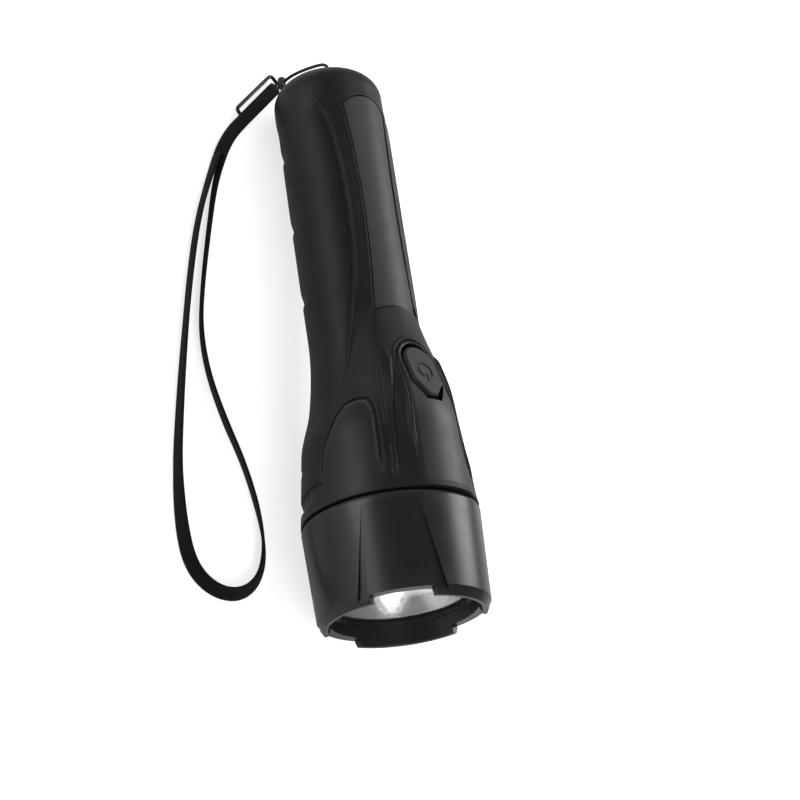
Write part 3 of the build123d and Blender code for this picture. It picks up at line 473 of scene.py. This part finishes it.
# grid points next to the pocket and the inlay move onto those outlines, so both edges are crisp
for which in (2, 3):
    distance = signed_distances(turn_grid, along_grid, skin_radius)[which]
    grow_row, grow_column = np.gradient(distance)
    steepness = grow_row ** 2 + grow_column ** 2 + 1e-9
    shift_row = np.clip(-distance * grow_row / steepness, -0.5, 0.5)
    shift_column = np.clip(-distance * grow_column / steepness, -0.5, 0.5)
    near = (np.abs(distance) < 0.5 * np.sqrt(steepness)) & on_side
    row_step = np.gradient(along_grid, axis=0)
    column_step = np.gradient(turn_grid, axis=1)
    along_grid = np.where(near, along_grid + shift_row * row_step, along_grid)
    turn_grid = np.where(near, turn_grid + shift_column * column_step, turn_grid)
    skin_radius = np.where(on_side, crowned_radius(turn_grid, along_grid, turned_radius(along_grid)), skin_radius)

collar_at, plate_at, pocket_at, inlay_at = signed_distances(turn_grid, along_grid, skin_radius)
degrees = np.abs(np.degrees(turn_grid))
relief = np.zeros(skin_radius.shape)

# raised front of the grip, with a scooped crease along each side
crease_degrees = np.interp(along_grid, CREASE[:, 0], CREASE[:, 1])
lean = np.gradient(CREASE[:, 1], CREASE[:, 0])
lean_here = np.radians(np.interp(along_grid, CREASE[:, 0], lean)) * skin_radius
from_crease = np.radians(crease_degrees - degrees) * skin_radius / np.sqrt(1 + lean_here ** 2)
shown = rise(along_grid, 64, 78) * (1 - rise(along_grid, 190, 197))
relief += shown * (CREASE_STEP * rise(from_crease, -0.4, 0.4) - CREASE_SET_BACK
                   - CREASE_STEP * np.exp(-np.clip(-from_crease, 0, None) / CREASE_FADE) * (from_crease < 0.0)
                   + CREASE_LIP * ridge_line(from_crease - 0.7, 0.5))
# lines round the shields and the band
collar_shown = np.where(degrees < 60, rise(along_grid, 40, 50), np.where(along_grid < 37.8, 0.0, 1.0))
relief += collar_shown * (SHIELD_LIP * ridge_line(collar_at - 0.85, LIP_WIDTH)
                          - SHIELD_LINE * ridge_line(collar_at, LINE_WIDTH))
# recess and grooves round the back
relief -= BACK_RECESS * rise(degrees, 100, 106) * rise(along_grid, 40.6, 41.2) * (1 - rise(along_grid, 45.2, 45.8))
relief -= BACK_LINE * rise(degrees, 118, 130) * ridge_line(along_grid - 57, 1.1)
for groove_at in FINGER_GROOVES:
    past = along_grid - groove_at
    relief -= FINGER_GROOVE * rise(degrees, 104, 124) * rise(past, -0.5, 0.1) * (1 - rise(past, 0.2, 7.5))
# nose plate: its edges fade out towards the seam
plate_shown = rise(along_grid, 42, 62)
plate_edge = PLATE_LIP * ridge_line(plate_at + 0.9, LIP_WIDTH) - PLATE_LINE * ridge_line(plate_at, LINE_WIDTH)
relief += plate_shown * plate_edge * (pocket_at < -0.6)
# raised blade beside the nose plate
blade_degrees = np.interp(along_grid, BLADE[:, 0], BLADE[:, 1])
blade_width = np.interp(along_grid, BLADE_WIDTH[:, 0], BLADE_WIDTH[:, 1])
from_blade = np.radians(degrees - blade_degrees) * skin_radius
blade_shown = rise(along_grid, 38, 52) * (1 - rise(along_grid, 89, 93))
relief += BLADE_HEIGHT * blade_shown * (1 - rise(np.abs(from_blade), blade_width * 0.7, blade_width + 0.35))
# lip round the tail end of the pocket
lip_shown = rise(along_grid, 72, 84)
relief += POCKET_LIP * lip_shown * ridge_line(pocket_at + 0.7, 0.5)
# bed of the inlay
relief += INLAY_LIP * ridge_line(inlay_at + 0.5, LIP_WIDTH) * (inlay_at < 0)
relief -= INLAY_BED_DEPTH * (inlay_at > 0.02)
relief *= on_side
skin_radius = skin_radius + relief

skin_across = skin_radius * np.sin(turn_grid)
skin_height = skin_radius * np.cos(turn_grid)
skin_along = along_grid.copy()
# the button's pocket sinks square to the sloping switch face
sink = ((skin_along - SWITCH_AT) * SLOPE_SIN + (skin_height - SWITCH_HEIGHT) * SLOPE_COS
        + POCKET_DEPTH) * (pocket_at > 0.02)
skin_along -= sink * SLOPE_SIN
skin_height -= sink * SLOPE_COS
# two cord holes in the tail end
hole_across = HOLE_REACH * math.sin(math.radians(HOLE_DEGREES))
hole_height = HOLE_REACH * math.cos(math.radians(HOLE_DEGREES))
on_tail = along_grid > TAIL_AT + 4
for side in (1, -1):
    off = np.hypot(skin_across - side * hole_across, skin_height - side * hole_height)
    skin_along -= HOLE_DEPTH * (1 - rise(off, HOLE_RADIUS, HOLE_RADIUS + 0.3)) * on_tail
    skin_along -= HOLE_LIP * ridge_line(off - 1.5, 0.3) * on_tail

# edge that turns in at the seam
edge_rows = [(27.5, SEAM_AT), (30.4, SEAM_AT), (30.75, SEAM_AT + 0.08), (30.93, SEAM_AT + 0.2)]
columns = len(turns)
edge_across = [r * np.sin(turns) for r, _ in edge_rows]
edge_height = [r * np.cos(turns) for r, _ in edge_rows]
edge_along = [np.full(columns, s) for _, s in edge_rows]
skin_points = to_shared(np.vstack([edge_across, skin_across]), np.vstack([edge_along, skin_along]),
                        np.vstack([edge_height, skin_height])).reshape(-1, 3)


def face_values(grid, edge_value):
    """Mean of each face's four corners, with the edge's rows set to one value or one row of values."""
    grid = np.vstack([np.broadcast_to(edge_value, (len(edge_rows), columns)), grid])
    right = np.roll(grid, -1, axis=1)
    return (grid[:-1] + grid[1:] + right[:-1] + right[1:]) / 4


is_collar = face_values(collar_at, collar_at[0]) > 0
is_plate = (face_values(plate_at, ELSEWHERE) > 0) & (face_values(pocket_at, ELSEWHERE) < 0.1) & ~is_collar
is_open = face_values(inlay_at, ELSEWHERE) > 1.3
row, column = np.indices(is_collar.shape)
next_column = (column + 1) % columns
face_corners = np.stack([row * columns + column, row * columns + next_column,
                         (row + 1) * columns + next_column, (row + 1) * columns + column], axis=-1)


def skin_piece(name, chosen, node, material):
    """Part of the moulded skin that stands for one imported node."""
    corners = face_corners[chosen]
    used, index = np.unique(corners, return_inverse=True)
    piece = mesh_object(name, skin_points[used], index.reshape(corners.shape).tolist())
    piece.data.set_sharp_from_angle(angle=math.radians(42))
    piece.data.materials.append(material)
    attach(piece, "body")
    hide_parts(node)


skin_piece("grip_skin", ~is_collar & ~is_plate & ~is_open, "rubber_grip", rubber)
skin_piece("collar_skin", is_collar, "head_collar", hard_black)
skin_piece("nose_plate", is_plate, "switch_surround", nose_plastic)

# return spring under the button, as a copy of the imported spring with a mesh of its own on the body
spring_mesh = nodes["return_spring"].data.copy()
return_coil = link(bpy.data.objects.new("return_coil", spring_mesh))
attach(return_coil, "body")
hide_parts("return_spring")
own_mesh(return_coil)

# ---------------------------------------------------------------- cords
CORD_RADIUS = 0.6
STRAP_WIDTH, STRAP_THICKNESS = 5.0, 1.2
STRAP_END_WIDTH, STRAP_END_THICKNESS = 4.9, 2.6
cord_route = [
    (-3.20, 105.06, 26.03), (-3.20, 108.35, 25.81), (-3.1, 110.9, 24.2), (-3.0, 112.4, 20.8),
    (-3.5, 113.3, 16.0), (-4.4, 113.7, 11.0), (-5.5, 113.4, 6.3), (-6.3, 112.0, 2.9), (-5.3, 109.8, 4.6),
    (-1.8, 110.4, 8.0), (2.1, 110.2, 10.9), (3.20, 107.68, 12.70), (3.20, 104.19, 12.93),
]
tail_cord = route_curve("tail_cord_loop", cord_route)
tail_cord.data.bevel_depth = CORD_RADIUS * MM
tail_cord.data.bevel_resolution = 5
tail_cord.data.materials.append(moulded("cord_fibre", (0.008, 0.0082, 0.0088), 0.7, grain=3200, depth=0.00008))
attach(tail_cord, "body")
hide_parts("tail_cord")

strap_route = [
    (-40.39, 73.67, 2.5), (-44.8, 63.6, 2.5), (-51.2, 46.0, 2.3), (-56.2, 25.0, 2.3),
    (-60.8, 0.0, 2.3), (-65.0, -26.5, 2.3), (-68.1, -50.5, 2.3), (-67.9, -71.5, 2.3),
    (-64.8, -84.5, 2.3), (-56.0, -91.4, 2.3), (-45.0, -91.8, 2.3), (-36.4, -85.5, 2.3),
    (-32.8, -74.5, 2.3), (-34.2, -61.0, 2.3), (-39.0, -44.5, 2.3), (-46.4, -29.0, 2.3),
    (-52.0, -13.0, 2.3), (-53.8, 3.0, 2.3), (-51.2, 21.0, 2.3), (-46.8, 42.0, 2.3),
    (-42.0, 63.5, 2.5), (-38.01, 72.63, 2.5),
]
strap_points = route_samples("strap_line", strap_route)


def ribbon(name, points, width, thickness, lean):
    """Flat tape round a line, thinner at its edges: lean gives, for shares of its length, degrees from upright."""
    steps = np.diff(points, axis=0)
    lengths = np.concatenate([[0], np.cumsum(np.linalg.norm(steps, axis=1))])
    angles = np.radians(np.interp(lengths / lengths[-1], [share for share, _ in lean], [tilt for _, tilt in lean]))
    tangents = np.gradient(points, axis=0)
    tangents /= np.linalg.norm(tangents, axis=1)[:, None]
    side = np.column_stack([-tangents[:, 1], tangents[:, 0], np.zeros(len(points))])
    side /= np.linalg.norm(side, axis=1)[:, None]
    up = np.cross(tangents, side)
    up *= np.sign(up[:, 2])[:, None]
    broad = up * np.cos(angles)[:, None] + side * np.sin(angles)[:, None]
    flat = np.cross(tangents, broad)
    rows = 7
    outline = [(a, 1 - 0.55 * abs(a) ** 6) for a in (-1 + 2 * k / (rows - 1) for k in range(rows))]
    ring = outline + [(a, -h) for a, h in reversed(outline)]
    back_of_weave = 40
    verts = []
    uvs = []
    for i, point in enumerate(points):
        for j, (a, h) in enumerate(ring):
            verts.append(point + broad[i] * a * width / 2 + flat[i] * h * thickness / 2)
            uvs.append((a * width / 2 / MM + (0 if j < rows else back_of_weave), lengths[i] / MM))
    n = len(ring)
    last = len(points) - 1
    faces = [(i * n + j, i * n + (j + 1) % n, (i + 1) * n + (j + 1) % n, (i + 1) * n + j)
             for i in range(last) for j in range(n)]
    faces += [tuple(range(n - 1, -1, -1)), tuple(last * n + j for j in range(n))]
    return mesh_object(name, verts, faces, uvs=uvs)


strap_lean = [(0, 0), (0.06, -10), (0.2, -14), (0.36, 0), (0.45, 32), (0.51, 54), (0.56, 50), (0.62, 26),
              (0.7, 20), (0.82, 28), (0.94, 18), (1, 0)]
strap = ribbon("wrist_strap_tape", strap_points, STRAP_WIDTH * MM, STRAP_THICKNESS * MM, strap_lean)
strap.data.materials.append(webbing)
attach(strap, "body")
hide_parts("wrist_strap")

# sewn end of the tape, lying doubled along the slider
end_route = [(-10.0, 109.0, 2.5), (-24.9, 93.3, 2.5), (-35.6, 81.4, 2.5), (-39.2, 73.15, 2.5)]
end_lean = [(0, 88), (0.55, 80), (1, 60)]
strap_end = ribbon("strap_end_sewn", route_samples("end_line", end_route), STRAP_END_WIDTH * MM,
                   STRAP_END_THICKNESS * MM, end_lean)
strap_end.data.materials.append(webbing)
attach(strap_end, "body")
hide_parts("strap_end")

# ---------------------------------------------------------------- light and floor
FLOOR_REACH = 6.0
FLOOR_GLOW = 0.70           # light that the floor adds of its own, to what the camera sees of it
FLOOR_IN_GLOSS = 0.2        # share of that light in glossy reflections
WORLD_LEVEL = 0.22
floor_mesh = bpy.data.meshes.new("floor")
floor_mesh.from_pydata([(x * FLOOR_REACH, y * FLOOR_REACH, 0) for x, y in ((-1, -1), (1, -1), (1, 1), (-1, 1))], [],
                       [(0, 1, 2, 3)])
floor = link(bpy.data.objects.new("floor", floor_mesh))
floor.location.z = -0.0003
floor_shader = Shader("floor", (0.93, 0.93, 0.935), 0.55, specular=0.25)
path = floor_shader.node("ShaderNodeLightPath")
lift = floor_shader.node("ShaderNodeEmission")
lift.inputs["Color"].default_value = (1, 1, 1, 1)
in_gloss = floor_shader.maths("MULTIPLY", path.outputs["Is Glossy Ray"], FLOOR_IN_GLOSS)
seen = floor_shader.maths("MAXIMUM", path.outputs["Is Camera Ray"], in_gloss)
seen_through = floor_shader.maths("MAXIMUM", seen, path.outputs["Is Transmission Ray"])
floor_shader.join(floor_shader.maths("MULTIPLY", seen_through, FLOOR_GLOW), lift.inputs["Strength"])
added = floor_shader.node("ShaderNodeAddShader")
floor_shader.join(floor_shader.principled.outputs["BSDF"], added.inputs[0])
floor_shader.join(lift.outputs["Emission"], added.inputs[1])
floor_shader.join(added.outputs["Shader"], floor_shader.tree.nodes["Material Output"].inputs["Surface"])
floor.data.materials.append(floor_shader.material)

world = bpy.data.worlds.new("studio")
scene.world = world
world.use_nodes = True
background = world.node_tree.nodes["Background"]
background.inputs["Color"].default_value = (1, 1, 1, 1)
background.inputs["Strength"].default_value = WORLD_LEVEL
scene.view_settings.view_transform = "Standard"


def area_light(name, place, aim, size, power, height=None):
    """Square lamp, or a rectangle where a height is given; metres and watts."""
    data = bpy.data.lights.new(name, "AREA")
    data.energy = power
    data.size = size
    if height is not None:
        data.shape = "RECTANGLE"
        data.size_y = height
    lamp = link(bpy.data.objects.new(name, data))
    lamp.location = place
    lamp.rotation_euler = (Vector(aim) - Vector(place)).to_track_quat("-Z", "Y").to_euler()


area_light("key", (0.80, 0.38, 0.58), (0, 0, 0.03), 0.50, 5.8, 0.50)
area_light("left", (-0.95, 0.36, 0.16), (0, 0, 0.03), 0.42, 3.2, 0.36)
area_light("front", (-0.15, -0.80, 0.60), (0, -0.08, 0.03), 0.45, 2.8)
area_light("fill", (0.25, 0.85, 0.85), (0, 0.02, 0.03), 0.5, 2.4)
